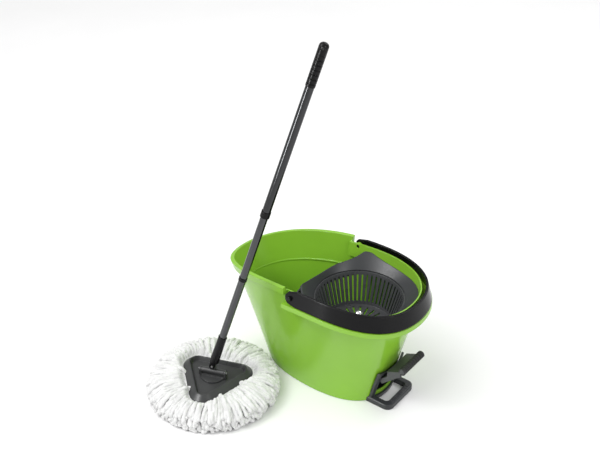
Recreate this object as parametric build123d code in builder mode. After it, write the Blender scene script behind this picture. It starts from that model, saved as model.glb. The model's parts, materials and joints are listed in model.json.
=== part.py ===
"""Spin mop set: an egg-shaped bucket with a pedal-driven spinning basket, and a mop with a
telescopic pole on a two-way swivel. Millimetres, +Z up. The origin is where the axis of the
spinning basket meets the surface that the bucket stands on. +X points to the pedal end."""

import math
import os

from build123d import *

os.makedirs("parts", exist_ok=True)

FIT = 0.06                # radial clearance of every running fit

# ---------------------------------------------------------------- bucket: driving dimensions
RIM_HEIGHT = 287.0        # highest point of the rim
WALL = 3.0
BASE_MID, RIM_MID = -60.0, -22.0          # where the bucket is widest, at the base and the rim
BASE_POUR, RIM_POUR = 178.0, 340.0        # reach from there to the pour end
BASE_END, RIM_END = 140.0, 169.0          # reach from there to the pedal end
BASE_HALF, RIM_HALF = 94.0, 134.0         # half width
OVAL_PULL, ROUND_PULL = 0.652, 0.5523      # fullness of the egg shapes, and that of a circle
RIM_DIP_POUR, RIM_DIP_END = 53.0, 10.0    # how far the rim dips at either end
DIP_REACH_POUR, DIP_REACH_END = 316.0, 169.0

LIP_OUT, LIP_DEPTH, LIP_SKIN = 6.0, 18.0, 2.6   # rolled lip round the pour half
STEP_X = -108.0           # the rim steps down and in here, to make room for the carry handle
STEP_DROP, STEP_INSET = 10.0, 7.0
LEDGE_OUT, LEDGE_TOP, LEDGE_BOTTOM = 13.0, 36.0, 47.0
FILL_LINE, FILL_STEP = 72.0, 2.5          # raised line inside the pour half, below the rim

# carry handle
HANDLE_X, HANDLE_Z = -88.0, 267.0         # its hinge line
HANDLE_TALL, HANDLE_THICK, HANDLE_FLARE = 34.0, 5.0, 9.0
HANDLE_PIN, HANDLE_NOSE, HANDLE_BOSS = 4.0, 13.0, 7.5

# pedal bay under the basket
BAY_BACK, BAY_FRONT, BAY_HALF, BAY_TOP = -66.0, 110.0, 50.0, 80.0
SLOT_HALF, SLOT_LOW, SLOT_HIGH = 42.5, 22.0, 76.0
COVER_THICK = 2.5
TOWER_RADIUS, TOWER_TOP = 14.0, 138.0
BUSH_RADIUS, SHAFT_RADIUS = 9.0, 4.0
SCREW_SPOTS = [(x, y) for x in (-56.0, 22.0) for y in (-41.5, 41.5)]

# gear train
MODULE, BACKLASH = 1.5, 0.25
SECTOR_TEETH, SMALL_TEETH, LARGE_TEETH, PINION_TEETH = 36, 16, 32, 12
SECTOR_PITCH, SMALL_PITCH = MODULE * SECTOR_TEETH / 2, MODULE * SMALL_TEETH / 2
LARGE_PITCH, PINION_PITCH = MODULE * LARGE_TEETH / 2, MODULE * PINION_TEETH / 2
RACK_Y = 7.5                              # pitch line of the rack's side teeth
GEAR_Y = RACK_Y + SMALL_PITCH
GEAR_X = -math.sqrt((LARGE_PITCH + PINION_PITCH) ** 2 - GEAR_Y ** 2)
PEDAL_X, PEDAL_Z = 40.0, 19.0             # pivot of the pedal
RACK_Z = PEDAL_Z + SECTOR_PITCH           # pitch line of the rack's lower teeth
RACK_TOP = RACK_Z + 7.0
RACK_BACK, RACK_JOIN, RACK_FRONT = -54.0, 3.0, 56.0
LARGE_LOW, LARGE_HIGH = RACK_TOP + 3.0, RACK_TOP + 9.0
CUP_RADIUS, DRUM_RADIUS, ROLLER_RADIUS, ROLLER_RING = 14.0, 7.0, 1.9, 9.2

# pedal and floor frame
PEDAL_HALF, PEDAL_SLOPE, PEDAL_REACH, PEDAL_THICK = 40.0, 42.5, 141.0, 5.0
HUB_HALF, TREAD_CORE, TREAD_RADIUS = 24.0, 5.5, 8.5
DECK_X, DECK_Z, DECK_THICK = 106.5, 97.5, 4.0      # rear edge of the flatter deck that the foot presses
FRAME_HALF, FRAME_END, FRAME_TALL, FRAME_BAR = 53.0, 126.0, 13.0, 15.0
BEZEL_OUT, BEZEL_TOP = 5.0, 88.0

# basket
BASKET_TOP, BASKET_FLOOR = 232.0, 153.0
BASKET_MOUTH, BASKET_FOOT, BASKET_WALL = 98.4, 76.0, 2.2
RIB_COUNT, FLOOR_SLOTS = 54, 24
HUB_RADIUS, HUB_LOW, HUB_TOP = 12.0, 142.0, 181.0

# splash guard
GUARD_MOUTH, GUARD_LOW, GUARD_HIGH, GUARD_SKIN = 99.5, 235.0, 266.0, 2.6
GUARD_HALF, GUARD_END, GUARD_BACK = 128.0, 142.0, 118.0
GUARD_FOOT, GUARD_SKIRT_TOP = 208.0, 262.0
GUARD_EDGE = [(-52, 150), (-70, 105), (-98, 55), (-108, 0), (-106, -48), (-97, -95), (-92, -150)]

# mop: the pole is measured upwards from the cross pin
HEAD_X, HEAD_Y = -238.0, -231.0
HEAD_TURN = 20.7          # direction of the swivel's hinge bar, degrees from +X
JOINT_HEIGHT, CROSS_OFFSET = 52.0, 16.0   # the hinge bar, and from it up to the cross pin
LEAN_SIDE, LEAN_ALONG = 7.7, 16.4         # lean of the pole about the bar and about the pin
PLATE_TIP, PLATE_CORNER = 91.0, 33.0      # reach and radius of the plate's corners
PLATE_LOW, PLATE_EDGE, PLATE_RIDGE, PLATE_FLOOR = 28.0, 34.0, 46.0, 37.0
CARRIER_LOW = 23.0
SWIVEL_RADIUS, BAR_HALF, LUG_THICK, LUG_RADIUS, PIN_RADIUS = 21.0, 32.0, 5.0, 6.5, 3.0
EYE_HALF, CROSS_PIN, CHEEK_OUT = 4.0, 2.5, 8.6
FRINGE_RADIUS, FRINGE_TALL = 155.0, 45.0
SOCKET_START, SOCKET_END, SOCKET_WIDE, SOCKET_SLIM = 11.0, 82.0, 11.0, 9.8
TUBE_INNER, TUBE_OUTER, TUBE_WALL = 8.5, 9.4, 0.8
TUBE_LOW, TUBE_TOP = 40.0, 760.0
JOINT_LOW, JOINT_HIGH, JOINT_RADIUS = 238.0, 246.0, 9.6   # ring where two lengths of tube join
COLLAR_LOW, COLLAR_HIGH, COLLAR_RADIUS = 402.0, 416.0, 10.6
GRIP_LOW, CAP_LOW, POLE_TOP, GRIP_RADIUS = 706.0, 774.0, 799.0, 10.4
HANG_AT, HANG_RADIUS = 788.0, 3.5


def save(block, name):
    """Label a finished sub-part and write its STEP file."""
    block.part.label = name
    export_step(block.part, "parts/" + name + ".step")


# ---------------------------------------------------------------- forms of the bucket
def oval(middle, pour, end, half):
    """Anchor points of a closed egg shape and the reach of its four curves' handles."""
    return {"middle": middle, "pour": pour, "end": end, "half": half, "pull": OVAL_PULL}


def outline(height, grow=0.0):
    """The egg-shaped bucket's outline at a height, moved outwards by grow."""
    rise = height / RIM_HEIGHT
    return oval(BASE_MID + (RIM_MID - BASE_MID) * rise,
                BASE_POUR + (RIM_POUR - BASE_POUR) * rise + grow,
                BASE_END + (RIM_END - BASE_END) * rise + grow,
                BASE_HALF + (RIM_HALF - BASE_HALF) * rise + grow)


def between(low, low_shape, high, high_shape):
    """A straight-sided solid between two egg shapes, each drawn as four tangent curves."""
    with BuildPart() as solid:
        for height, shape in ((low, low_shape), (high, high_shape)):
            middle, half, pull = shape["middle"], shape["half"], shape["pull"]
            with BuildSketch(Plane.XY.offset(height)):
                with BuildLine():
                    for reach, across in ((shape["end"], half), (-shape["pour"], half),
                                          (-shape["pour"], -half), (shape["end"], -half)):
                        Bezier((middle + reach, 0), (middle + reach, across * pull),
                               (middle + reach * pull, across), (middle, across))
                make_face()
        loft(ruled=True)
    return solid.part


def bucket_form(grow, low, high=300.0):
    """The bucket's outer form, grown outwards, between two heights."""
    return between(low, outline(low, grow), high, outline(high, grow))


def flared_form(grow):
    """The rim's outline drawn downwards, flaring out as the carry handle does."""
    slope = HANDLE_FLARE / HANDLE_TALL
    low, high = 225.0, 292.0
    low_points = outline(RIM_HEIGHT, grow + slope * (RIM_HEIGHT - low))
    high_points = outline(RIM_HEIGHT, grow + slope * (RIM_HEIGHT - high))
    return between(low, low_points, high, high_points)


def rim_line(x, drop):
    """Height of the arched rim at a station, lowered by drop."""
    if x < RIM_MID:
        return RIM_HEIGHT - drop - RIM_DIP_POUR * ((x - RIM_MID) / DIP_REACH_POUR) ** 2
    return RIM_HEIGHT - drop - RIM_DIP_END * ((x - RIM_MID) / DIP_REACH_END) ** 2


def draw_rim_line(x_from, x_to, drop):
    """Draw the rim's parabola into the open line builder, one arc each side of its peak."""
    stations = [x_from, RIM_MID, x_to] if x_from < RIM_MID < x_to else [x_from, x_to]
    for start, stop in zip(stations, stations[1:]):
        middle = (start + stop) / 2
        bow = rim_line(middle, drop) * 2 - (rim_line(start, drop) + rim_line(stop, drop)) / 2
        Bezier((start, rim_line(start, drop)), (middle, bow), (stop, rim_line(stop, drop)))


def rim_band(x_from, x_to, drop_low, drop_high):
    """The space between two lowered rim lines, right across the bucket."""
    with BuildPart() as space:
        with BuildSketch(Plane.XZ):
            with BuildLine():
                draw_rim_line(x_from, x_to, drop_low)
                draw_rim_line(x_from, x_to, drop_high)
                for x in (x_from, x_to):
                    Line((x, rim_line(x, drop_low)), (x, rim_line(x, drop_high)))
            make_face()
        extrude(amount=220, both=True)
    return space.part


def slab(x_from, x_to, half_width, low, high):
    """A plain block, symmetric about the bucket's long axis."""
    with BuildPart() as solid:
        with Locations(((x_from + x_to) / 2, 0, (low + high) / 2)):
            Box(x_to - x_from, 2 * half_width, high - low)
    return solid.part


def ring(grow_out, grow_in, low, space):
    """The part of a ring round the bucket that lies inside a space."""
    with BuildPart() as solid:
        add(bucket_form(grow_out, low))
        add(bucket_form(grow_in, low - 1, 301), mode=Mode.SUBTRACT)
        add(space, mode=Mode.INTERSECT)
    return solid.part


# ---------------------------------------------------------------- bucket shell
RING_LOW = 170.0
pour_lip = ring(LIP_OUT, -WALL / 2, RING_LOW, rim_band(-380, STEP_X, LIP_DEPTH, 0))
lip_hollow = ring(LIP_OUT - LIP_SKIN, 1, RING_LOW,
                  rim_band(-380, STEP_X - LIP_SKIN, LIP_DEPTH + 9, LIP_SKIN))
inset_wall = ring(-STEP_INSET, -STEP_INSET - WALL, RING_LOW,
                  rim_band(STEP_X - WALL, 200, LEDGE_BOTTOM - 1, STEP_DROP))
step_cheek = ring(1, -STEP_INSET - WALL / 2, RING_LOW,
                  rim_band(STEP_X - WALL, STEP_X, LEDGE_BOTTOM, STEP_DROP))
fill_line = ring(-WALL + 1, -WALL - FILL_STEP, RING_LOW - 40,
                 rim_band(-340, STEP_X - 4, FILL_LINE + 3, FILL_LINE))

with BuildPart() as ledge:
    add(between(225, outline(RIM_HEIGHT, LEDGE_OUT), 262, outline(RIM_HEIGHT, LEDGE_OUT - 2)))
    add(bucket_form(-STEP_INSET - WALL / 2, 220, 301), mode=Mode.SUBTRACT)
    add(rim_band(STEP_X, 200, LEDGE_BOTTOM, LEDGE_TOP), mode=Mode.INTERSECT)

with BuildPart() as ledge_hollow:
    add(between(215, outline(RIM_HEIGHT, LEDGE_OUT - LIP_SKIN), 262,
                outline(RIM_HEIGHT, LEDGE_OUT - LIP_SKIN - 2)))
    add(bucket_form(1, 210, 301), mode=Mode.SUBTRACT)
    add(rim_band(STEP_X + LIP_SKIN, 200, LEDGE_BOTTOM + 9, LEDGE_TOP + LIP_SKIN), mode=Mode.INTERSECT)

with BuildPart() as bay:
    add(slab(BAY_BACK, BAY_FRONT, BAY_HALF, 0, BAY_TOP))
    add(bucket_form(-1, -1), mode=Mode.INTERSECT)
    with BuildSketch(Plane.XY.offset(BAY_TOP - 1)):
        Circle(TOWER_RADIUS)
    extrude(amount=TOWER_TOP - BAY_TOP + 1)

with BuildPart() as bay_hollow:
    add(slab(BAY_BACK + WALL, BAY_FRONT, BAY_HALF - WALL, -2, BAY_TOP - WALL))
    add(bucket_form(-WALL, -2), mode=Mode.INTERSECT)

with BuildPart() as handle_bosses:
    with BuildSketch(Plane.XZ):
        with Locations((HANDLE_X, HANDLE_Z)):
            Circle(HANDLE_BOSS)
    extrude(amount=129, both=True)
    add(bucket_form(-STEP_INSET - WALL / 2, 220, 301), mode=Mode.SUBTRACT)

with BuildPart() as bucket_shell:
    add(bucket_form(0, 0))
    fillet(bucket_shell.faces().sort_by(Axis.Z)[0].edges(), radius=2.0)
    add(bucket_form(-WALL, WALL, 301), mode=Mode.SUBTRACT)
    add(rim_band(-380, STEP_X, 0, -90), mode=Mode.SUBTRACT)
    add(rim_band(STEP_X, 200, LEDGE_BOTTOM - 4, -90), mode=Mode.SUBTRACT)
    for piece in (inset_wall, step_cheek, ledge.part, handle_bosses.part, pour_lip, fill_line, bay.part):
        add(piece)
    for hollow in (ledge_hollow.part, lip_hollow, bay_hollow.part):
        add(hollow, mode=Mode.SUBTRACT)
    # slot in the end wall for the pedal
    add(slab(60, 130, SLOT_HALF, SLOT_LOW, SLOT_HIGH), mode=Mode.SUBTRACT)
    # bosses inside the bay for the cover screws and the gear post
    with BuildSketch(Plane.XY.offset(COVER_THICK)):
        with Locations(*SCREW_SPOTS):
            Circle(4.5)
    extrude(amount=BAY_TOP - WALL / 2 - COVER_THICK)
    with BuildSketch(Plane.XY.offset(LARGE_HIGH + 0.4)):
        with Locations((GEAR_X, GEAR_Y)):
            Circle(6)
    extrude(amount=BAY_TOP - WALL / 2 - LARGE_HIGH - 0.4)
    # bores for the cover screws, the gear post, the shaft bush and the handle pins
    with BuildSketch(Plane.XY):
        with Locations(*SCREW_SPOTS):
            Circle(1.5)
    extrude(amount=14, mode=Mode.SUBTRACT)
    with BuildSketch(Plane.XY.offset(LARGE_HIGH)):
        with Locations((GEAR_X, GEAR_Y)):
            Circle(PIN_RADIUS)
    extrude(amount=8, mode=Mode.SUBTRACT)
    with BuildSketch(Plane.XY.offset(BAY_TOP - 5)):
        Circle(BUSH_RADIUS)
    extrude(amount=80, mode=Mode.SUBTRACT)
    with BuildSketch(Plane.XZ):
        with Locations((HANDLE_X, HANDLE_Z)):
            Circle(HANDLE_PIN)
    extrude(amount=200, both=True, mode=Mode.SUBTRACT)
save(bucket_shell, "bucket_shell")


# ---------------------------------------------------------------- splash guard
def guard_oval(grow):
    """The guard's upper edge, moved outwards by grow."""
    return oval(0, GUARD_BACK + grow, GUARD_END + grow, GUARD_HALF + grow)


def guard_round(grow):
    """The guard's mouth round the basket, moved outwards by grow."""
    radius = GUARD_MOUTH + grow
    return {"middle": 0, "pour": radius, "end": radius, "half": radius, "pull": ROUND_PULL}


def guard_plan(inset):
    """Everything on the basket's side of the guard's curved front edge."""
    edge = [(x + inset, y) for x, y in GUARD_EDGE]
    with BuildPart() as plan:
        with BuildSketch(Plane.XY.offset(180)):
            with BuildLine():
                Spline(*edge)
                Polyline(edge[-1], (200, edge[-1][1]), (200, edge[0][1]), edge[0])
            make_face()
        extrude(amount=110)
    return plan.part


guard_limit = bucket_form(-STEP_INSET - WALL - 0.4, 190)

with BuildPart() as guard_skirt:
    add(guard_plan(0))
    add(guard_plan(GUARD_SKIN), mode=Mode.SUBTRACT)
    add(slab(-140, -58, 200, GUARD_FOOT, GUARD_SKIRT_TOP), mode=Mode.INTERSECT)
    add(between(GUARD_LOW, guard_round(1), GUARD_HIGH, guard_oval(1)), mode=Mode.SUBTRACT)
    add(guard_limit, mode=Mode.INTERSECT)

with BuildPart() as splash_guard:
    add(between(GUARD_LOW - 1, guard_round(GUARD_SKIN), GUARD_HIGH - 1,
                guard_oval(GUARD_SKIN)))
    add(between(GUARD_LOW - 2, guard_round(0), GUARD_HIGH, guard_oval(0)),
        mode=Mode.SUBTRACT)
    add(guard_plan(0), mode=Mode.INTERSECT)
    add(guard_limit, mode=Mode.INTERSECT)
    add(guard_skirt.part)
save(splash_guard, "splash_guard")

# ---------------------------------------------------------------- carry handle and its pins
with BuildPart() as handle_side:
    with BuildSketch(Plane.XZ):
        with Locations((HANDLE_X, HANDLE_Z)):
            Circle(HANDLE_NOSE)
        with BuildLine():
            Polyline((HANDLE_X - 2, HANDLE_Z + HANDLE_NOSE - 0.2), (RIM_MID, 300), (190, 300), (190, 220),
                     (-30, 220), (-40, 247), (HANDLE_X - 3, HANDLE_Z - HANDLE_NOSE + 0.4), close=True)
        make_face()
    extrude(amount=220, both=True)

with BuildPart() as carry_handle:
    add(flared_form(0))
    add(flared_form(-HANDLE_THICK), mode=Mode.SUBTRACT)
    add(handle_side.part, mode=Mode.INTERSECT)
    add(rim_band(-200, 190, HANDLE_TALL, 0), mode=Mode.INTERSECT)
    with BuildSketch(Plane.XZ):
        with Locations((HANDLE_X, HANDLE_Z)):
            Circle(HANDLE_PIN + FIT)
    extrude(amount=200, both=True, mode=Mode.SUBTRACT)
save(carry_handle, "carry_handle")

with BuildPart() as handle_pins:
    for side in (-1, 1):
        with BuildSketch(Plane.XZ.offset(side * 121)):
            with Locations((HANDLE_X, HANDLE_Z)):
                Circle(HANDLE_PIN)
        extrude(amount=side * 20)
        with BuildSketch(Plane.XZ.offset(side * 141)):
            with Locations((HANDLE_X, HANDLE_Z)):
                Circle(HANDLE_PIN + 1.5)
        extrude(amount=side * 2)
save(handle_pins, "handle_pins")

# ---------------------------------------------------------------- floor frame at the pedal end
with BuildPart() as bezel:
    add(bucket_form(BEZEL_OUT, 0, 120))
    add(slab(40, 130, SLOT_HALF + 7, 0, BEZEL_TOP), mode=Mode.INTERSECT)
    add(slab(30, 140, SLOT_HALF, FRAME_TALL - 1, SLOT_HIGH + 5), mode=Mode.SUBTRACT)

with BuildPart() as foot_frame:
    with BuildSketch(Plane.XY):
        with Locations(((40 + FRAME_END) / 2, 0)):
            RectangleRounded(FRAME_END - 40, 2 * FRAME_HALF, 16)
        with Locations(((60 + FRAME_END - FRAME_BAR) / 2, 0)):
            RectangleRounded(FRAME_END - FRAME_BAR - 60, 2 * (FRAME_HALF - FRAME_BAR), 8,
                             mode=Mode.SUBTRACT)
    extrude(amount=FRAME_TALL)
    fillet(foot_frame.faces().sort_by(Axis.Z)[-1].edges(), radius=3)
    with Locations(*[(FRAME_END - FRAME_BAR / 2, step * 8.0, FRAME_TALL) for step in range(-4, 5)]):
        Box(FRAME_BAR - 6, 2.5, 1.6)
    add(bezel.part)
    add(bucket_form(0.1, -5, 120), mode=Mode.SUBTRACT)
save(foot_frame, "foot_frame")

# ---------------------------------------------------------------- bay cover, screws and pins
COVER_HALF = BAY_HALF - WALL - 0.3
CHANNEL_X, CHANNEL_LONG = -8.0, 12.0

with BuildPart() as cover_plate:
    add(slab(BAY_BACK + WALL + 0.3, BAY_FRONT, COVER_HALF, 0, COVER_THICK))
    add(bucket_form(-WALL - 0.6, -2, 20), mode=Mode.INTERSECT)

with BuildPart() as base_cover:
    add(cover_plate.part)
    # bearing blocks of the pedal pin
    for side in (-1, 1):
        with BuildSketch(Plane.XZ.offset(side * 41)):
            with Locations((PEDAL_X, PEDAL_Z)):
                Circle(8)
            with Locations((PEDAL_X, PEDAL_Z / 2 + 1)):
                Rectangle(16, PEDAL_Z - 2)
        extrude(amount=side * 5)
    # rest of the gear
    with BuildSketch(Plane.XY.offset(COVER_THICK / 2)):
        with Locations((GEAR_X, GEAR_Y)):
            Circle(7)
    extrude(amount=RACK_Z + 0.6 - COVER_THICK / 2)
    # channel that guides the rack
    with Locations((CHANNEL_X, -4.5, RACK_TOP / 2 + 0.5)):
        Box(CHANNEL_LONG, 13, RACK_TOP - 1)
    with Locations((CHANNEL_X, -2.6, RACK_Z + 1.3 + 5)):
        Box(CHANNEL_LONG + 2, 11.4, 10, mode=Mode.SUBTRACT)
    # bores: pedal pin, gear post, screws and their heads
    with BuildSketch(Plane.XZ):
        with Locations((PEDAL_X, PEDAL_Z)):
            Circle(SHAFT_RADIUS)
    extrude(amount=50, both=True, mode=Mode.SUBTRACT)
    with BuildSketch(Plane.XY.offset(COVER_THICK)):
        with Locations((GEAR_X, GEAR_Y)):
            Circle(PIN_RADIUS)
    extrude(amount=60, mode=Mode.SUBTRACT)
    with BuildSketch(Plane.XY):
        with Locations(*SCREW_SPOTS):
            Circle(1.5)
    extrude(amount=COVER_THICK, mode=Mode.SUBTRACT)
    with BuildSketch(Plane.XY):
        with Locations(*SCREW_SPOTS):
            Circle(3.2)
    extrude(amount=1.6, mode=Mode.SUBTRACT)
save(base_cover, "base_cover")

with BuildPart() as cover_screws:
    with BuildSketch(Plane.XY.offset(0.3)):
        with Locations(*SCREW_SPOTS):
            Circle(3.1)
        with Locations(*SCREW_SPOTS):
            Rectangle(3.6, 0.9, mode=Mode.SUBTRACT)
            Rectangle(0.9, 3.6, mode=Mode.SUBTRACT)
    extrude(amount=1.3)
    with BuildSketch(Plane.XY.offset(1.2)):
        with Locations(*SCREW_SPOTS):
            Circle(1.5)
    extrude(amount=12)
save(cover_screws, "cover_screws")

with BuildPart() as pedal_pin:
    with BuildSketch(Plane.XZ):
        with Locations((PEDAL_X, PEDAL_Z)):
            Circle(SHAFT_RADIUS)
    extrude(amount=46, both=True)
save(pedal_pin, "pedal_pin")

with BuildPart() as gear_post:
    with BuildSketch(Plane.XY.offset(COVER_THICK)):
        with Locations((GEAR_X, GEAR_Y)):
            Circle(PIN_RADIUS)
    extrude(amount=LARGE_HIGH + 8 - COVER_THICK)
save(gear_post, "gear_post")

with BuildPart() as shaft_bush:
    with BuildSketch(Plane.XY.offset(BAY_TOP - 3)):
        Circle(BUSH_RADIUS)
    extrude(amount=TOWER_TOP - BAY_TOP + 3)
    with BuildSketch(Plane.XY.offset(TOWER_TOP)):
        Circle(BUSH_RADIUS + 3)
    extrude(amount=1.6)
    with BuildSketch(Plane.XY):
        Circle(SHAFT_RADIUS + FIT)
    extrude(amount=200, mode=Mode.SUBTRACT)
save(shaft_bush, "shaft_bush")


# ---------------------------------------------------------------- gear train
def gear_points(teeth, turn, centre_x, centre_y):
    """Outline of an involute gear with a tooth centred on the direction turn, in radians."""
    pitch = MODULE * teeth / 2
    base = pitch * math.cos(math.radians(20))
    root, tip = pitch - 1.05 * MODULE, pitch + 0.8 * MODULE
    half_pitch = (math.pi * MODULE / 2 - BACKLASH) / 2 / pitch
    start = max(root, base)

    def roll(radius):
        """Involute function of the pressure angle at a radius."""
        slant = math.acos(min(1.0, base / radius))
        return math.tan(slant) - slant

    radii = [start + (tip - start) * step / 4 for step in range(5)]
    if base > root:
        radii.insert(0, root)
    flank = [(radius, half_pitch + roll(pitch) - roll(max(radius, base))) for radius in radii]
    points = []
    for tooth in range(teeth):
        centre = turn + 2 * math.pi * tooth / teeth
        turned = [(radius, centre - half) for radius, half in flank]
        turned += [(radius, centre + half) for radius, half in reversed(flank)]
        points += [(centre_x + radius * math.cos(angle), centre_y + radius * math.sin(angle))
                   for radius, angle in turned]
    return points


def rack_points(first, last, centre, pitch_line, back):
    """Outline of a rack whose teeth point down, with a space at centre, closed at back."""
    step = math.pi * MODULE
    tooth_half = (step / 2 - BACKLASH) / 2
    slant = math.tan(math.radians(20))
    low, high = 0.8 * MODULE, 1.05 * MODULE
    count = int((last - first) / step) + 2
    points = [(first, back), (first, pitch_line + high)]
    for tooth in range(-count, count):
        x = centre + (tooth + 0.5) * step
        if first + step / 2 < x < last - step / 2:
            points += [(x - tooth_half - high * slant, pitch_line + high),
                       (x - tooth_half + low * slant, pitch_line - low),
                       (x + tooth_half - low * slant, pitch_line - low),
                       (x + tooth_half + high * slant, pitch_line + high)]
    return points + [(last, pitch_line + high), (last, back)]


with BuildPart() as drive_rack:
    # lower teeth, in mesh with the pedal's sector
    with BuildSketch(Plane.XZ.offset(-5.5)):
        with BuildLine():
            Polyline(*rack_points(2, RACK_FRONT, PEDAL_X, RACK_Z, RACK_TOP), close=True)
        make_face()
    extrude(amount=13.5)
    # side teeth, in mesh with the gear: the same outline mirrored to point at +Y
    with BuildSketch(Plane.XY.offset(RACK_Z + 1.6)):
        with BuildLine():
            side_teeth = rack_points(RACK_BACK, RACK_JOIN, GEAR_X, RACK_Y, 2 * RACK_Y + 8)
            Polyline(*[(x, 2 * RACK_Y - y) for x, y in side_teeth], close=True)
        make_face()
    extrude(amount=RACK_TOP - RACK_Z - 1.6)
save(drive_rack, "drive_rack")

LINE_OF_CENTRES = math.atan2(-GEAR_Y, -GEAR_X)

with BuildPart() as drive_gear:
    with BuildSketch(Plane.XY.offset(RACK_Z + 1.0)):
        with BuildLine():
            Polyline(*gear_points(SMALL_TEETH, -math.pi / 2, GEAR_X, GEAR_Y), close=True)
        make_face()
    extrude(amount=LARGE_LOW - RACK_Z - 1.0)
    with BuildSketch(Plane.XY.offset(LARGE_LOW)):
        with BuildLine():
            Polyline(*gear_points(LARGE_TEETH, LINE_OF_CENTRES, GEAR_X, GEAR_Y), close=True)
        make_face()
    extrude(amount=LARGE_HIGH - LARGE_LOW)
    with BuildSketch(Plane.XY.offset(RACK_Z)):
        with Locations((GEAR_X, GEAR_Y)):
            Circle(PIN_RADIUS + FIT)
    extrude(amount=40, mode=Mode.SUBTRACT)
save(drive_gear, "drive_gear")

with BuildPart() as drive_pinion:
    with BuildSketch(Plane.XY.offset(LARGE_LOW - 0.5)):
        with BuildLine():
            half_step = math.pi / PINION_TEETH
            Polyline(*gear_points(PINION_TEETH, LINE_OF_CENTRES + math.pi + half_step, 0, 0), close=True)
        make_face()
    extrude(amount=LARGE_HIGH - LARGE_LOW + 1)
    # cup of the one-way clutch, with a pocket for each roller
    with BuildSketch(Plane.XY.offset(LARGE_HIGH + 0.5)):
        Circle(CUP_RADIUS)
    extrude(amount=11)
    with BuildSketch(Plane.XY.offset(LARGE_HIGH + 2)):
        Circle(DRUM_RADIUS + 0.5)
        with PolarLocations(ROLLER_RING, 6):
            Circle(ROLLER_RADIUS + 0.7)
    extrude(amount=20, mode=Mode.SUBTRACT)
    with BuildSketch(Plane.XY.offset(LARGE_LOW - 5)):
        Circle(SHAFT_RADIUS + FIT)
    extrude(amount=40, mode=Mode.SUBTRACT)
save(drive_pinion, "drive_pinion")

with BuildPart() as clutch_rollers:
    with BuildSketch(Plane.XY.offset(LARGE_HIGH + 2)):
        with PolarLocations(ROLLER_RING, 6):
            Circle(ROLLER_RADIUS)
    extrude(amount=8.5)
save(clutch_rollers, "clutch_rollers")

with BuildPart() as clutch_drum:
    with BuildSketch(Plane.XY.offset(LARGE_HIGH + 2.4)):
        Circle(DRUM_RADIUS)
        Circle(SHAFT_RADIUS, mode=Mode.SUBTRACT)
    extrude(amount=9)
save(clutch_drum, "clutch_drum")

with BuildPart() as drive_shaft:
    with BuildSketch(Plane.XY.offset(RACK_TOP + 0.8)):
        Circle(SHAFT_RADIUS)
    extrude(amount=HUB_TOP - RACK_TOP - 0.8)
save(drive_shaft, "drive_shaft")

with BuildPart() as shaft_clip:
    with BuildSketch(Plane.XY.offset(RACK_TOP + 1)):
        Circle(6.5)
        Circle(SHAFT_RADIUS, mode=Mode.SUBTRACT)
    extrude(amount=1.2)
save(shaft_clip, "shaft_clip")

# ---------------------------------------------------------------- basket
with BuildPart() as basket:
    with BuildSketch(Plane.XZ):
        with BuildLine():
            Polyline((SHAFT_RADIUS, HUB_LOW), (HUB_RADIUS + 3, HUB_LOW), (HUB_RADIUS + 3, BASKET_FLOOR),
                     (BASKET_FOOT + BASKET_WALL, BASKET_FLOOR),
                     (BASKET_MOUTH + BASKET_WALL, BASKET_TOP - 4), (BASKET_MOUTH + 5, BASKET_TOP - 3),
                     (BASKET_MOUTH + 5, BASKET_TOP), (BASKET_MOUTH, BASKET_TOP),
                     (BASKET_FOOT, BASKET_FLOOR + 3), (HUB_RADIUS, BASKET_FLOOR + 3),
                     (HUB_RADIUS, HUB_TOP), (SHAFT_RADIUS, HUB_TOP), close=True)
        make_face()
    revolve(axis=Axis.Z)
    # slots between the ribs of the wall, and draining slots in the floor
    with PolarLocations(89, RIB_COUNT):
        with Locations((0, 0, (BASKET_FLOOR + BASKET_TOP) / 2 + 1)):
            Box(34, 3.6, BASKET_TOP - BASKET_FLOOR - 17, mode=Mode.SUBTRACT)
    with PolarLocations(50, FLOOR_SLOTS):
        with Locations((0, 0, BASKET_FLOOR)):
            Box(32, 4, 12, mode=Mode.SUBTRACT)
save(basket, "basket")

with BuildPart() as hub_dome:
    with BuildSketch(Plane.XZ):
        with BuildLine():
            Polyline((0, HUB_TOP + 11), (0, HUB_TOP), (HUB_RADIUS - 1, HUB_TOP))
            CenterArc((0, HUB_TOP), HUB_RADIUS - 1, 0, 90)
        make_face()
    revolve(axis=Axis.Z)
save(hub_dome, "hub_dome")


# ---------------------------------------------------------------- pedal
def along_pedal(reach, rise):
    """A point of the pedal's side view, along its slope from the pivot."""
    slope = math.radians(PEDAL_SLOPE)
    return (PEDAL_X + reach * math.cos(slope) - rise * math.sin(slope),
            PEDAL_Z + reach * math.sin(slope) + rise * math.cos(slope))


def pedal_strip(start, stop, low, high):
    """Corners of a straight strip of the pedal's side view."""
    return [along_pedal(*corner) for corner in ((start, low), (stop, low), (stop, high), (start, high))]


HALF_PLATE = PEDAL_THICK / 2

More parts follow.
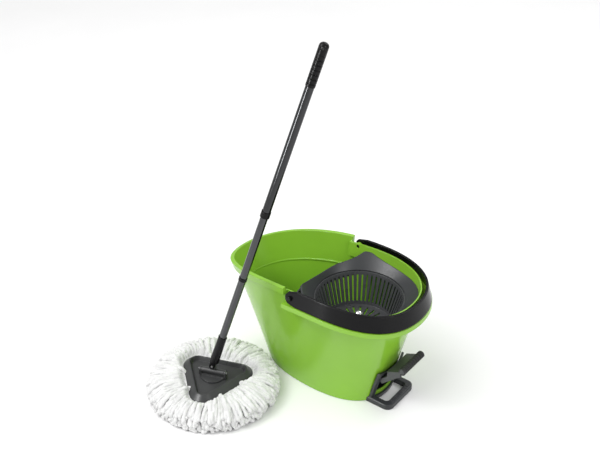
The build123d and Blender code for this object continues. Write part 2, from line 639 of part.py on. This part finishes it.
with BuildPart() as pedal:
    with BuildSketch(Plane.XZ):
        with Locations((PEDAL_X, PEDAL_Z)):
            Circle(8)
        with BuildLine():
            Polyline(*pedal_strip(0, 14, -HALF_PLATE, HALF_PLATE), close=True)
        make_face()
    extrude(amount=HUB_HALF, both=True)
    # plate, end bar and edge ribs
    with BuildSketch(Plane.XZ):
        with BuildLine():
            Polyline(*pedal_strip(12, PEDAL_REACH, -HALF_PLATE, HALF_PLATE), close=True)
        make_face()
        with Locations(along_pedal(PEDAL_REACH, 0)):
            Circle(TREAD_CORE)
    extrude(amount=PEDAL_HALF, both=True)
    bar_x, bar_z = along_pedal(PEDAL_REACH, 0)
    with BuildSketch(Plane.XZ):
        with BuildLine():
            Polyline((bar_x, bar_z), (DECK_X, DECK_Z), (DECK_X + 1, DECK_Z - DECK_THICK),
                     (bar_x + 1, bar_z - DECK_THICK), close=True)
        make_face()
    extrude(amount=PEDAL_HALF, both=True)
    for side in (-1, 1):
        with BuildSketch(Plane.XZ.offset(side * (PEDAL_HALF - 3))):
            with BuildLine():
                Polyline(*pedal_strip(66, PEDAL_REACH - TREAD_RADIUS - 1, -9, 0), close=True)
            make_face()
            with BuildLine():
                Polyline((bar_x, bar_z - 1), (DECK_X + 1, DECK_Z - 1), along_pedal(90, 0), close=True)
            make_face()
        extrude(amount=side * 3)
    # toothed sector
    with BuildSketch(Plane.XZ.offset(-5.2)):
        with BuildLine():
            Polyline(*gear_points(SECTOR_TEETH, math.pi / 2, PEDAL_X, PEDAL_Z), close=True)
        make_face()
        with BuildLine():
            Polyline((PEDAL_X + 3, PEDAL_Z), (PEDAL_X + 9, PEDAL_Z + 40), (PEDAL_X - 40, PEDAL_Z + 40),
                     (PEDAL_X - 6, PEDAL_Z), close=True)
        make_face(mode=Mode.INTERSECT)
    extrude(amount=12.9)
    with BuildSketch(Plane.XZ):
        with Locations((PEDAL_X, PEDAL_Z)):
            Circle(SHAFT_RADIUS + FIT)
    extrude(amount=60, both=True, mode=Mode.SUBTRACT)
save(pedal, "pedal")

with BuildPart() as pedal_tread:
    with BuildSketch(Plane.XZ):
        with Locations(along_pedal(PEDAL_REACH, 0)):
            Circle(TREAD_RADIUS)
            Circle(TREAD_CORE, mode=Mode.SUBTRACT)
        with BuildLine():
            Polyline(*pedal_strip(PEDAL_REACH - 12, PEDAL_REACH, -HALF_PLATE, HALF_PLATE), close=True)
        make_face(mode=Mode.SUBTRACT)
        with BuildLine():
            Polyline((bar_x, bar_z), (DECK_X, DECK_Z), (DECK_X + 1, DECK_Z - DECK_THICK),
                     (bar_x + 1, bar_z - DECK_THICK), close=True)
        make_face(mode=Mode.SUBTRACT)
        with BuildLine():
            Polyline((bar_x, bar_z - 1), (DECK_X + 1, DECK_Z - 1), along_pedal(90, 0), close=True)
        make_face(mode=Mode.SUBTRACT)
    extrude(amount=PEDAL_HALF, both=True)
    # grooves for grip
    for step in range(-4, 5):
        with BuildSketch(Plane.XZ.offset(step * 8.0)):
            with Locations((bar_x, bar_z)):
                Circle(TREAD_RADIUS + 1)
                Circle(TREAD_RADIUS - 1, mode=Mode.SUBTRACT)
        extrude(amount=1.2, both=True, mode=Mode.SUBTRACT)
save(pedal_tread, "pedal_tread")

with BuildPart() as pedal_springs:
    for side in (-1, 1):
        with BuildLine() as coil:
            Helix(pitch=2.2, height=10, radius=6.2, center=(PEDAL_X, side * 31 - 5, PEDAL_Z),
                  direction=(0, 1, 0))
        with BuildSketch(Plane(origin=coil.line @ 0, z_dir=coil.line % 0)):
            Circle(0.7)
        sweep(path=coil.line)
save(pedal_springs, "pedal_springs")

# ---------------------------------------------------------------- mop: frames of reference
bar_turn, side_lean, along_lean = (math.radians(value) for value in (HEAD_TURN, LEAN_SIDE, LEAN_ALONG))
bar = Vector(math.cos(bar_turn), math.sin(bar_turn), 0)
across_bar = Vector(-math.sin(bar_turn), math.cos(bar_turn), 0)
yoke_up = Vector(0, 0, 1) * math.cos(side_lean) + across_bar * math.sin(side_lean)
pin_axis = across_bar * math.cos(side_lean) - Vector(0, 0, 1) * math.sin(side_lean)
pole_up = yoke_up * math.cos(along_lean) + bar * math.sin(along_lean)
pole_side = bar * math.cos(along_lean) - yoke_up * math.sin(along_lean)
joint = Vector(HEAD_X, HEAD_Y, JOINT_HEIGHT)
cross = joint + yoke_up * CROSS_OFFSET

head = Plane(origin=(HEAD_X, HEAD_Y, 0), x_dir=bar, z_dir=(0, 0, 1))
bar_end = Plane(origin=joint, x_dir=across_bar, z_dir=bar)       # looks along the hinge bar
yoke_end = Plane(origin=joint, x_dir=pin_axis, z_dir=bar)        # the same, leaning with the yoke
pin_end = Plane(origin=cross, x_dir=bar, z_dir=-pin_axis)        # looks along the cross pin
fork_end = Plane(origin=cross, x_dir=pole_side, z_dir=-pin_axis)  # the same, leaning with the pole
pole = Plane(origin=cross, x_dir=pole_side, z_dir=pole_up)       # across the pole


def plate_outline(inset):
    """Rounded triangle of the head plate, moved inwards, in the open sketch builder."""
    triangle = RegularPolygon(radius=PLATE_TIP + PLATE_CORNER - 2 * inset, side_count=3, rotation=30)
    fillet(triangle.vertices(), radius=max(PLATE_CORNER - inset, 5))


# ---------------------------------------------------------------- mop head
with BuildPart() as mop_plate:
    with BuildSketch(head.offset(PLATE_LOW)):
        plate_outline(0)
    extrude(amount=PLATE_EDGE - PLATE_LOW)
    with BuildSketch(head.offset(PLATE_EDGE)):
        plate_outline(0)
    with BuildSketch(head.offset(PLATE_RIDGE)):
        plate_outline(13)
    loft(ruled=True)
    for height, inset in ((PLATE_RIDGE, 16), (PLATE_FLOOR, 20.5)):
        with BuildSketch(head.offset(height)):
            plate_outline(inset)
    loft(ruled=True, mode=Mode.SUBTRACT)
    with BuildSketch(head.offset(PLATE_LOW)):
        plate_outline(3)
    extrude(amount=PLATE_EDGE - PLATE_LOW, mode=Mode.SUBTRACT)
    with BuildSketch(head.offset(PLATE_LOW)):
        Circle(SWIVEL_RADIUS + FIT)
    extrude(amount=30, mode=Mode.SUBTRACT)
save(mop_plate, "mop_plate")

with BuildPart() as fringe_carrier:
    with BuildSketch(head.offset(CARRIER_LOW)):
        plate_outline(3.3)
        Circle(SWIVEL_RADIUS + 10, mode=Mode.SUBTRACT)
    extrude(amount=PLATE_EDGE - CARRIER_LOW)
save(fringe_carrier, "fringe_carrier")

with BuildPart() as fringe:
    with BuildSketch(Plane(origin=(HEAD_X, HEAD_Y, 0), x_dir=bar, z_dir=-across_bar)):
        with BuildLine():
            Polyline((60, FRINGE_TALL - 4), (0, FRINGE_TALL - 4), (0, 0), (FRINGE_RADIUS - 6, 0))
            Spline((FRINGE_RADIUS - 6, 0), (FRINGE_RADIUS, 8), (FRINGE_RADIUS - 8, 24),
                   (FRINGE_RADIUS - 28, 38), (105, FRINGE_TALL), (60, FRINGE_TALL - 4))
        make_face()
    revolve(axis=Axis((HEAD_X, HEAD_Y, 0), (0, 0, 1)))
    with BuildSketch(head.offset(CARRIER_LOW)):
        plate_outline(-0.6)
    extrude(amount=60, mode=Mode.SUBTRACT)
save(fringe, "fringe")

# ---------------------------------------------------------------- swivel
with BuildPart() as swivel_disc:
    with BuildSketch(head.offset(PLATE_EDGE - 3)):
        Circle(SWIVEL_RADIUS)
    extrude(amount=PLATE_FLOOR - PLATE_EDGE + 3.4)
    with BuildSketch(head.offset(PLATE_FLOOR + 0.4)):
        Circle(SWIVEL_RADIUS + 6)
    extrude(amount=3)
    with BuildSketch(head.offset(PLATE_FLOOR + 3)):
        Rectangle(2 * BAR_HALF, 2 * LUG_RADIUS)
    extrude(amount=3)
    for start in (BAR_HALF - LUG_THICK, -BAR_HALF):
        with BuildSketch(bar_end.offset(start)):
            Circle(LUG_RADIUS)
            with Locations((0, -5.5)):
                Rectangle(2 * LUG_RADIUS, 11)
        extrude(amount=LUG_THICK)
    with BuildSketch(bar_end):
        Circle(PIN_RADIUS)
    extrude(amount=60, both=True, mode=Mode.SUBTRACT)
save(swivel_disc, "swivel_disc")

with BuildPart() as swivel_ring:
    with BuildSketch(head.offset(PLATE_EDGE - 2.9)):
        Circle(SWIVEL_RADIUS + 5)
        Circle(SWIVEL_RADIUS, mode=Mode.SUBTRACT)
    extrude(amount=2.5)
save(swivel_ring, "swivel_ring")

with BuildPart() as tilt_pin:
    with BuildSketch(bar_end):
        Circle(PIN_RADIUS)
    extrude(amount=BAR_HALF + 1.5, both=True)
save(tilt_pin, "tilt_pin")

with BuildPart() as yoke:
    with BuildSketch(yoke_end):
        Circle(LUG_RADIUS)
    extrude(amount=BAR_HALF - LUG_THICK - 0.5, both=True)
    with BuildSketch(pin_end):
        Circle(LUG_RADIUS)
        with Locations((0, -CROSS_OFFSET / 2)):
            Rectangle(2 * LUG_RADIUS, CROSS_OFFSET)
    extrude(amount=EYE_HALF, both=True)
    with BuildSketch(yoke_end):
        Circle(PIN_RADIUS + FIT)
    extrude(amount=60, both=True, mode=Mode.SUBTRACT)
    with BuildSketch(pin_end):
        Circle(CROSS_PIN + FIT)
    extrude(amount=30, both=True, mode=Mode.SUBTRACT)
save(yoke, "yoke")

# ---------------------------------------------------------------- lower pole
with BuildPart() as pole_socket:
    for start in (EYE_HALF + 0.4, -CHEEK_OUT):
        with BuildSketch(fork_end.offset(start)):
            Circle(LUG_RADIUS)
            with Locations((0, 7)):
                Rectangle(2 * LUG_RADIUS, 14)
        extrude(amount=CHEEK_OUT - EYE_HALF - 0.4)
    for height, radius in ((SOCKET_START, SOCKET_WIDE), (SOCKET_END, SOCKET_SLIM)):
        with BuildSketch(pole.offset(height)):
            Circle(radius)
    loft()
    with BuildSketch(pole.offset(TUBE_LOW)):
        Circle(TUBE_INNER)
    extrude(amount=100, mode=Mode.SUBTRACT)
    with BuildSketch(fork_end):
        Circle(CROSS_PIN)
    extrude(amount=30, both=True, mode=Mode.SUBTRACT)
save(pole_socket, "pole_socket")

with BuildPart() as cross_pin:
    with BuildSketch(fork_end):
        Circle(CROSS_PIN)
    extrude(amount=CHEEK_OUT + 0.8, both=True)
save(cross_pin, "cross_pin")


def tube(low, high, outer, inner):
    """A round tube along the pole."""
    with BuildPart() as solid:
        with BuildSketch(pole.offset(low)):
            Circle(outer)
            Circle(inner, mode=Mode.SUBTRACT)
        extrude(amount=high - low)
    return solid


lower_tube = tube(TUBE_LOW, TUBE_TOP, TUBE_INNER, TUBE_INNER - TUBE_WALL)
save(lower_tube, "lower_tube")

tube_joint = tube(JOINT_LOW, JOINT_HIGH, JOINT_RADIUS, TUBE_INNER)
save(tube_joint, "tube_joint")

with BuildPart() as tube_plug:
    with BuildSketch(pole.offset(TUBE_TOP - 14)):
        Circle(TUBE_INNER - TUBE_WALL)
    extrude(amount=14)
    with BuildSketch(pole.offset(TUBE_TOP)):
        Circle(TUBE_INNER - 0.3)
    extrude(amount=6)
save(tube_plug, "tube_plug")

# ---------------------------------------------------------------- twist lock and upper pole
SLEEVE_LOW = COLLAR_LOW + 6
upper_bore = TUBE_INNER + FIT
upper_tube = tube(SLEEVE_LOW + 0.4, CAP_LOW, TUBE_OUTER, upper_bore)
save(upper_tube, "upper_tube")

with BuildPart() as lock_collar:
    with BuildSketch(pole.offset(COLLAR_LOW)):
        Circle(COLLAR_RADIUS)
        Circle(TUBE_INNER + FIT, mode=Mode.SUBTRACT)
    extrude(amount=COLLAR_HIGH - COLLAR_LOW)
    with BuildSketch(pole.offset(SLEEVE_LOW)):
        Circle(TUBE_OUTER + FIT)
    extrude(amount=40, mode=Mode.SUBTRACT)
save(lock_collar, "lock_collar")

with BuildPart() as pole_grip:
    with BuildSketch(pole.offset(GRIP_LOW)):
        Circle(GRIP_RADIUS)
        Circle(TUBE_OUTER, mode=Mode.SUBTRACT)
    extrude(amount=CAP_LOW - GRIP_LOW)
    for step in range(6):
        with BuildSketch(pole.offset(GRIP_LOW + 6 + step * 10)):
            Circle(GRIP_RADIUS + 1)
            Circle(GRIP_RADIUS - 0.6, mode=Mode.SUBTRACT)
        extrude(amount=2, mode=Mode.SUBTRACT)
save(pole_grip, "pole_grip")

with BuildPart() as hang_cap:
    with BuildSketch(pole.offset(CAP_LOW)):
        Circle(GRIP_RADIUS)
    extrude(amount=POLE_TOP - CAP_LOW)
    fillet(hang_cap.faces().sort_by(Axis.Z)[-1].edges(), radius=9)
    with BuildSketch(pole.offset(CAP_LOW - 4)):
        Circle(upper_bore)
    extrude(amount=4)
    with BuildSketch(fork_end):
        with Locations((0, HANG_AT)):
            Circle(HANG_RADIUS)
    extrude(amount=30, both=True, mode=Mode.SUBTRACT)
save(hang_cap, "hang_cap")
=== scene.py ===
import json
import math
import random

import bpy
import numpy as np
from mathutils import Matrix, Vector


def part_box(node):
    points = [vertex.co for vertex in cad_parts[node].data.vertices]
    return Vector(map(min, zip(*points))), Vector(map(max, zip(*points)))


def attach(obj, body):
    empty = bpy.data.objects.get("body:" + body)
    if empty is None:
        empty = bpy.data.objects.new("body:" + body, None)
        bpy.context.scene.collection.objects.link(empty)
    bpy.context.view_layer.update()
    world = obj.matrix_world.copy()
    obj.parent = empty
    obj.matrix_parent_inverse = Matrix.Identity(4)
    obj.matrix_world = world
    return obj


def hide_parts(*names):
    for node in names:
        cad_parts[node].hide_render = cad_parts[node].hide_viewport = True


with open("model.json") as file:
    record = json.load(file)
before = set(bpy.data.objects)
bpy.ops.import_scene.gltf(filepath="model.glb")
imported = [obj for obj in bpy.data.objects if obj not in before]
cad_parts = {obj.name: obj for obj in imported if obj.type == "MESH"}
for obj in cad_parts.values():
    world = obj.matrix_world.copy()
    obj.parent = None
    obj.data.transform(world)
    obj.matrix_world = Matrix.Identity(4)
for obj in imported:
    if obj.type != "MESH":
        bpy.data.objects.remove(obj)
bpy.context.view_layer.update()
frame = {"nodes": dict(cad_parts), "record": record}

random.seed(7)
NODES = frame["nodes"]
SHARP_TURN = math.radians(28)
SLOT_OF = {part["node"]: part["material_slot"] for part in frame["record"]["subparts"]}

# the mop head's centre, the turn of its hinge bar and the direction of the pole
low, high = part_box("swivel_ring")
HEAD = Vector(((low[0] + high[0]) / 2, (low[1] + high[1]) / 2, 0.0))
BAR_TURN = math.radians(20.7)
JOINTS = {joint["name"]: joint for joint in frame["record"]["behaviour"]["joints"]}
POLE = Vector(JOINTS["telescope"]["axis"]).normalized()


# ---------------------------------------------------------------- materials
class Graph:
    """A small helper that builds one material's nodes."""

    def __init__(self, name):
        self.material = bpy.data.materials.new(name)
        self.material.use_nodes = True
        self.tree = self.material.node_tree
        self.shader = self.tree.nodes["Principled BSDF"]
        coords = self.tree.nodes.new("ShaderNodeTexCoord")
        self.place = coords.outputs["Object"]

    def link(self, source, target):
        self.tree.links.new(source, target)

    def noise(self, scale, detail=3.0, rough=0.55, place=None):
        node = self.tree.nodes.new("ShaderNodeTexNoise")
        node.inputs["Scale"].default_value = scale
        node.inputs["Detail"].default_value = detail
        node.inputs["Roughness"].default_value = rough
        self.link(place or self.place, node.inputs["Vector"])
        return node.outputs["Fac"]

    def spread(self, value, low_in, high_in, low_out, high_out):
        node = self.tree.nodes.new("ShaderNodeMapRange")
        for key, number in (("From Min", low_in), ("From Max", high_in),
                            ("To Min", low_out), ("To Max", high_out)):
            node.inputs[key].default_value = number
        self.link(value, node.inputs["Value"])
        return node.outputs["Result"]

    def blend(self, value, first, second):
        node = self.tree.nodes.new("ShaderNodeMix")
        node.data_type = "RGBA"
        node.inputs["A"].default_value = (*first, 1)
        node.inputs["B"].default_value = (*second, 1)
        self.link(value, node.inputs["Factor"])
        return node.outputs["Result"]

    def bump(self, value, strength, distance):
        node = self.tree.nodes.new("ShaderNodeBump")
        node.inputs["Strength"].default_value = strength
        node.inputs["Distance"].default_value = distance
        self.link(value, node.inputs["Height"])
        if self.shader.inputs["Normal"].is_linked:
            self.link(self.shader.inputs["Normal"].links[0].from_socket, node.inputs["Normal"])
        self.link(node.outputs["Normal"], self.shader.inputs["Normal"])

    def soften_edges(self, radius):
        node = self.tree.nodes.new("ShaderNodeBevel")
        node.samples = 4
        node.inputs["Radius"].default_value = radius
        self.link(node.outputs["Normal"], self.shader.inputs["Normal"])

    def set(self, **values):
        for key, number in values.items():
            self.shader.inputs[key.replace("_", " ")].default_value = number


def plastic(name, colour, rough, grain=0.06, coat=0.0, mottle=0.05, grain_scale=900.0, shine=0.4,
            edge=0.0014):
    """Moulded plastic: faint cloudiness, a fine moulded grain and uneven gloss."""
    graph = Graph(name)
    darker = [channel * (1 - mottle) for channel in colour]
    lighter = [min(1.0, channel * (1 + mottle)) for channel in colour]
    cloud = graph.spread(graph.noise(7.0, 4.0), 0.3, 0.7, 0.0, 1.0)
    graph.link(graph.blend(cloud, darker, lighter), graph.shader.inputs["Base Color"])
    wear = graph.spread(graph.noise(24.0, 5.0, 0.6), 0.3, 0.7, rough * 0.82, rough * 1.2)
    graph.link(wear, graph.shader.inputs["Roughness"])
    graph.soften_edges(edge)
    graph.bump(graph.noise(14.0, 2.0), 0.05, 0.004)
    graph.bump(graph.noise(grain_scale, 2.0), grain, 0.0004)
    graph.set(Coat_Weight=coat, Coat_Roughness=0.06, Specular_IOR_Level=shine)
    return graph.material


def metal(name, colour, rough, along=None, streak=0.25):
    """Drawn or turned steel, with fine streaks along one direction."""
    graph = Graph(name)
    place = graph.place
    if along is not None:
        upright = along.rotation_difference(Vector((0, 0, 1)))
        turn = graph.tree.nodes.new("ShaderNodeMapping")
        turn.inputs["Rotation"].default_value = upright.to_euler()
        graph.link(place, turn.inputs["Vector"])
        stretch = graph.tree.nodes.new("ShaderNodeMapping")
        stretch.inputs["Scale"].default_value = (420, 420, 5)
        graph.link(turn.outputs["Vector"], stretch.inputs["Vector"])
        place = stretch.outputs["Vector"]
        streaks = graph.noise(1.0, 3.0, 0.6, place)
    else:
        streaks = graph.noise(420.0, 3.0)
    fine = graph.spread(streaks, 0.3, 0.7, 0.0, 1.0)
    darker = [channel * (1 - streak * 0.4) for channel in colour]
    graph.link(graph.blend(fine, darker, colour), graph.shader.inputs["Base Color"])
    graph.link(graph.spread(streaks, 0.3, 0.7, rough * 0.75, rough * 1.35),
               graph.shader.inputs["Roughness"])
    graph.bump(streaks, 0.05, 0.0002)
    graph.set(Metallic=1.0)
    return graph.material


def yarn(name, colour, dark):
    """Microfibre yarn: fine fibres and soft sheen."""
    graph = Graph(name)
    cloud = graph.spread(graph.noise(55.0, 4.0), 0.32, 0.68, 0.0, 1.0)
    graph.link(graph.blend(cloud, dark, colour), graph.shader.inputs["Base Color"])
    graph.bump(graph.noise(520.0, 4.0, 0.7), 0.5, 0.0010)
    graph.bump(graph.noise(1500.0, 2.0, 0.6), 0.4, 0.0005)
    graph.set(Roughness=0.92, Sheen_Weight=0.45, Sheen_Roughness=0.5, Specular_IOR_Level=0.2)
    return graph.material


GREEN = (0.235, 0.49, 0.034)
MATERIALS = {
    "bucket_green": plastic("bucket green", GREEN, 0.22, 0.03, coat=0.2, grain_scale=700.0),
    "guard_grey": plastic("guard grey", (0.035, 0.037, 0.040), 0.33, 0.10, mottle=0.1, shine=0.45),
    "frame_grey": plastic("frame grey", (0.030, 0.032, 0.035), 0.34, 0.08),
    "steel": metal("steel", (0.62, 0.62, 0.63), 0.28),
    "steel_bright": metal("bright steel", (0.80, 0.80, 0.81), 0.12),
    "bush_white": plastic("bush white", (0.80, 0.80, 0.77), 0.45, 0.08),
    "handle_black": plastic("handle black", (0.006, 0.006, 0.0065), 0.13, 0.03, mottle=0.2,
                            grain_scale=700.0, shine=0.17, edge=0.003),
    "basket_grey": plastic("basket grey", (0.060, 0.062, 0.065), 0.28, coat=0.1),
    "pedal_grey": plastic("pedal grey", (0.060, 0.062, 0.066), 0.34, 0.08),
    "tread_rubber": plastic("tread rubber", (0.022, 0.022, 0.023), 0.62, 0.25, mottle=0.15,
                            grain_scale=500.0),
    "gear_white": plastic("gear white", (0.80, 0.78, 0.72), 0.40, 0.06),
    "head_dark": plastic("head dark", (0.045, 0.046, 0.047), 0.32, 0.10, mottle=0.15),
    "carrier_white": plastic("carrier white", (0.80, 0.80, 0.79), 0.5, 0.1),
    "microfibre": yarn("microfibre", (0.80, 0.80, 0.797), (0.69, 0.69, 0.688)),
    "tube_steel": metal("tube steel", (0.085, 0.086, 0.090), 0.13, POLE),
    "tube_grey": metal("tube grey", (0.055, 0.056, 0.058), 0.14, POLE),
}

for name, node in NODES.items():
    finish = MATERIALS[SLOT_OF[name]]
    if node.material_slots:
        for slot in node.material_slots:
            slot.material = finish
    else:
        node.data.materials.append(finish)
    node.data.shade_smooth()
    node.data.set_sharp_from_angle(angle=SHARP_TURN)


# ---------------------------------------------------------------- fringe of microfibre strands
PLATE_TIPS = [math.radians(30), math.radians(150), math.radians(270)]
PLATE_REACH = 0.091
PLATE_CORNER = 0.033

# height of the pile's top at distances from the head's centre
PROFILE_R = [0.050, 0.062, 0.080, 0.100, 0.120, 0.137, 0.149, 0.155]
PROFILE_Z = [0.033, 0.040, 0.0445, 0.0460, 0.0440, 0.0370, 0.0260, 0.0130]

TUCK = 0.007
ROOT_HEIGHT = 0.0285
RISE_START = 0.001
RISE_LENGTH = 0.018
LOWEST_CENTRE = 0.0042


def plate_edge(angle):
    """Distance from the head's centre to the edge of its rounded triangular plate."""
    best = 1.0
    inner = PLATE_REACH - PLATE_CORNER
    turned = angle - BAR_TURN
    for tip in PLATE_TIPS:
        # flat side opposite this tip
        facing = math.cos(turned - tip - math.pi)
        if facing > 0.05:
            best = min(best, (inner / 2 + PLATE_CORNER) / facing)
    nearest = max(PLATE_TIPS, key=lambda tip: math.cos(turned - tip))
    offset = turned - nearest
    across = inner * math.sin(offset)
    if abs(across) < PLATE_CORNER:
        rounding = math.sqrt(PLATE_CORNER ** 2 - across ** 2)
        best = min(best, inner * math.cos(offset) + rounding)
    return best


def strand_path(angle, share, end, steps):
    """Points of one strand, from under the plate outwards; share is its height in the pile."""
    start = plate_edge(angle) - TUCK
    drift = random.uniform(-0.06, 0.06)
    bend = random.uniform(-0.035, 0.035)
    wave = random.uniform(0.0006, 0.0022)
    phase = random.uniform(0, 6.28)
    lift = random.uniform(0.90, 1.03)
    points = []
    for step in range(steps + 1):
        along = step / steps
        reach = start + (end - start) * along ** 0.92
        turn = angle + drift * along ** 1.6 + bend * math.sin(along * 5 + phase) * along
        # 0 under the plate and 1 clear of it, eased at both ends
        free = (reach - plate_edge(turn) - RISE_START) / RISE_LENGTH
        free = min(1.0, max(0.0, free))
        free = free * free * (3 - 2 * free)
        top = float(np.interp(reach, PROFILE_R, PROFILE_Z))
        height = ROOT_HEIGHT * (1 - free) + top * share * lift * free
        height += wave * math.sin(along * 11 + phase) * free
        outward = Vector((math.cos(turn), math.sin(turn), 0.0))
        points.append(HEAD + outward * reach + Vector((0, 0, max(height, LOWEST_CENTRE))))
    return points


def add_strand(path, radius, sides, verts, faces):
    """A twisted yarn along a path, with a knobbly closed end."""
    count = len(path)
    twist = random.uniform(0, 6.28)
    base = len(verts)
    for index, point in enumerate(path):
        before = path[max(index - 1, 0)]
        after = path[min(index + 1, count - 1)]
        ahead = (after - before).normalized()
        side = ahead.cross(Vector((0, 0, 1))).normalized()
        up = side.cross(ahead)
        share = index / (count - 1)
        swell = random.uniform(0.90, 1.10) + 0.12 * math.exp(-((share - 0.955) / 0.03) ** 2)
        if index >= count - 2:
            swell *= 0.86 if index == count - 2 else 0.40
        for corner in range(sides):
            angle = 2 * math.pi * corner / sides
            ply = 1.0 + 0.12 * math.cos(2 * angle + twist + index * 0.95)
            size = radius * swell * ply
            spoke = side * (math.cos(angle) * size) + up * (math.sin(angle) * size)
            verts.append(point + spoke)
    for index in range(count - 1):
        for corner in range(sides):
            first = base + index * sides + corner
            second = base + index * sides + (corner + 1) % sides
            faces.append((first, second, second + sides, first + sides))
    faces.append(tuple(base + corner for corner in reversed(range(sides))))
    faces.append(tuple(base + (count - 1) * sides + corner for corner in range(sides)))


def strand_layer(name, count, share, ends, radius, steps, sides):
    """One layer of strands, evenly spread round the head, as one mesh."""
    verts, faces = [], []
    for index in range(count):
        angle = 2 * math.pi * (index + random.uniform(-0.32, 0.32)) / count
        path = strand_path(angle, share, random.uniform(*ends), steps)
        add_strand(path, radius * random.uniform(0.92, 1.08), sides, verts, faces)
    mesh = bpy.data.meshes.new(name)
    mesh.from_pydata(verts, [], faces)
    mesh.shade_smooth()
    mesh.materials.append(MATERIALS["microfibre"])
    layer = bpy.data.objects.new(name, mesh)
    bpy.context.scene.collection.objects.link(layer)
    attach(layer, "mop_head")
    return layer


STEPS, SIDES = ((40, 9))
STRANDS = 150
strand_layer("strands_low", STRANDS, 0.26, (0.146, 0.153), 0.0049, STEPS, SIDES)
strand_layer("strands_mid", STRANDS, 0.52, (0.147, 0.153), 0.0049, STEPS, SIDES)
strand_layer("strands_high", STRANDS, 0.78, (0.146, 0.153), 0.0048, STEPS, SIDES)
top_layer = strand_layer("strands_top", STRANDS, 1.0, (0.142, 0.152), 0.0046, STEPS, SIDES)
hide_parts("fringe")

# ---------------------------------------------------------------- floor, light and camera
floor_graph = Graph("floor")
cloud = floor_graph.spread(floor_graph.noise(1.4, 3.0), 0.3, 0.7, 0.0, 1.0)
floor_graph.link(floor_graph.blend(cloud, (0.86, 0.86, 0.86), (0.90, 0.90, 0.90)),
                 floor_graph.shader.inputs["Base Color"])
floor_graph.set(Roughness=0.55)
FLOOR_HALF = 40
corners = [(FLOOR_HALF * x, FLOOR_HALF * y, 0) for x, y in ((-1, -1), (1, -1), (1, 1), (-1, 1))]
floor_mesh = bpy.data.meshes.new("floor")
floor_mesh.from_pydata(corners, [], [(0, 1, 2, 3)])
floor_mesh.materials.append(floor_graph.material)
floor = bpy.data.objects.new("floor", floor_mesh)
bpy.context.scene.collection.objects.link(floor)
floor.location.z = -0.0004

world = bpy.data.worlds.new("studio")
world.use_nodes = True
direction = world.node_tree.nodes.new("ShaderNodeTexCoord")
height = world.node_tree.nodes.new("ShaderNodeSeparateXYZ")
world.node_tree.links.new(direction.outputs["Generated"], height.inputs["Vector"])
fade = world.node_tree.nodes.new("ShaderNodeMapRange")
for key, number in (("From Min", 0.0), ("From Max", 0.9), ("To Min", 0.40), ("To Max", 1.0)):
    fade.inputs[key].default_value = number
world.node_tree.links.new(height.outputs["Z"], fade.inputs["Value"])
backdrop = world.node_tree.nodes["Background"]
world.node_tree.links.new(fade.outputs["Result"], backdrop.inputs["Color"])
backdrop.inputs["Strength"].default_value = 0.74
bpy.context.scene.world = world
bpy.context.scene.view_settings.view_transform = "Standard"


def area_light(name, place, target, width, height, power, diffuse=True):
    """A soft rectangular light that looks at a point; diffuse off leaves only its gloss."""
    data = bpy.data.lights.new(name, "AREA")
    data.shape = "RECTANGLE"
    data.size = width
    data.size_y = height
    data.energy = power
    lamp = bpy.data.objects.new(name, data)
    lamp.location = place
    lamp.rotation_euler = (Vector(target) - Vector(place)).to_track_quat("-Z", "Y").to_euler()
    lamp.visible_diffuse = diffuse
    bpy.context.scene.collection.objects.link(lamp)


sun_data = bpy.data.lights.new("daylight", "SUN")
sun_data.energy = 1.35
sun_data.angle = math.radians(50)
sun = bpy.data.objects.new("daylight", sun_data)
sun.rotation_euler = Vector((0.45, 0.55, -1.0)).to_track_quat("-Z", "Y").to_euler()
bpy.context.scene.collection.objects.link(sun)

area_light("key", (-1.5, -1.6, 2.3), (-0.1, -0.05, 0.15), 0.9, 0.9, 22)
area_light("fill", (2.2, -0.6, 1.6), (0, 0, 0.2), 1.2, 1.2, 20)
area_light("rear", (0.2, 1.9, 2.2), (-0.1, 0, 0.2), 1.4, 1.4, 20)
area_light("strip", (-0.8, -1.87, 0.95), (-0.2, -0.25, 0.5), 0.22, 1.5, 32, diffuse=False)

camera_data = bpy.data.cameras.new("camera")
camera_data.lens = 60.0
camera_data.sensor_width = 36.0
camera = bpy.data.objects.new("camera", camera_data)
camera.location = (0.9894, -1.5104, 1.530)
facing = Vector((-0.5168, 0.6759, -0.5255))
camera.rotation_euler = facing.to_track_quat("-Z", "Y").to_euler()
bpy.context.scene.collection.objects.link(camera)
bpy.context.scene.camera = camera
